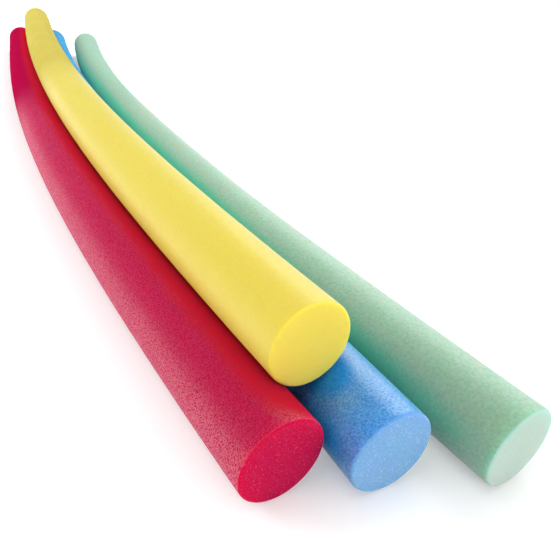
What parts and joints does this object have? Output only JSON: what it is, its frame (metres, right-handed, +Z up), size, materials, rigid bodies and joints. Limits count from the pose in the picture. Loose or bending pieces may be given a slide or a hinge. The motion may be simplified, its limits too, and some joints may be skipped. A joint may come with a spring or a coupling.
{
  "type": "pool noodle",
  "caption": "Loose bundle of solid round foam pool noodles, slowly bent along their length and square cut at the ends, the top one lying in the valley between its neighbours.",
  "frame": {"origin": "on the floor, under the middle of the footprint of the whole bundle", "axes": "+Z up, +Y along the noodles from their near cut ends to their far ones, +X from the red noodle towards the green one"},
  "size_m": [0.2988, 1.6772, 0.119],
  "materials": {
    "red_foam": "matt closed-cell foam, crimson, fine pebbled skin with pale cell walls, smooth cut ends",
    "yellow_foam": "matt closed-cell foam, lemon yellow, fine smooth skin",
    "blue_foam": "matt closed-cell foam, mid blue, fine pebbled skin, paler cut ends",
    "green_foam": "matt closed-cell foam, mint green, fine pebbled skin, paler cut ends"
  },
  "bodies": {
    "blue": {"blue_noodle": "blue_foam"},
    "yellow": {"yellow_noodle": "yellow_foam"},
    "red": {"red_noodle": "red_foam"},
    "green": {"green_noodle": "green_foam"}
  },
  "joints": [
    {"name": "yellow_lift", "type": "slide", "parent": "blue", "child": "yellow", "axis": [0, 0, 1], "range_m": [0, 0.25]},
    {"name": "red_aside", "type": "slide", "parent": "blue", "child": "red", "axis": [-1, 0, 0], "range_m": [0, 0.2]},
    {"name": "green_aside", "type": "slide", "parent": "blue", "child": "green", "axis": [1, 0, 0], "range_m": [0, 0.2]}
  ]
}
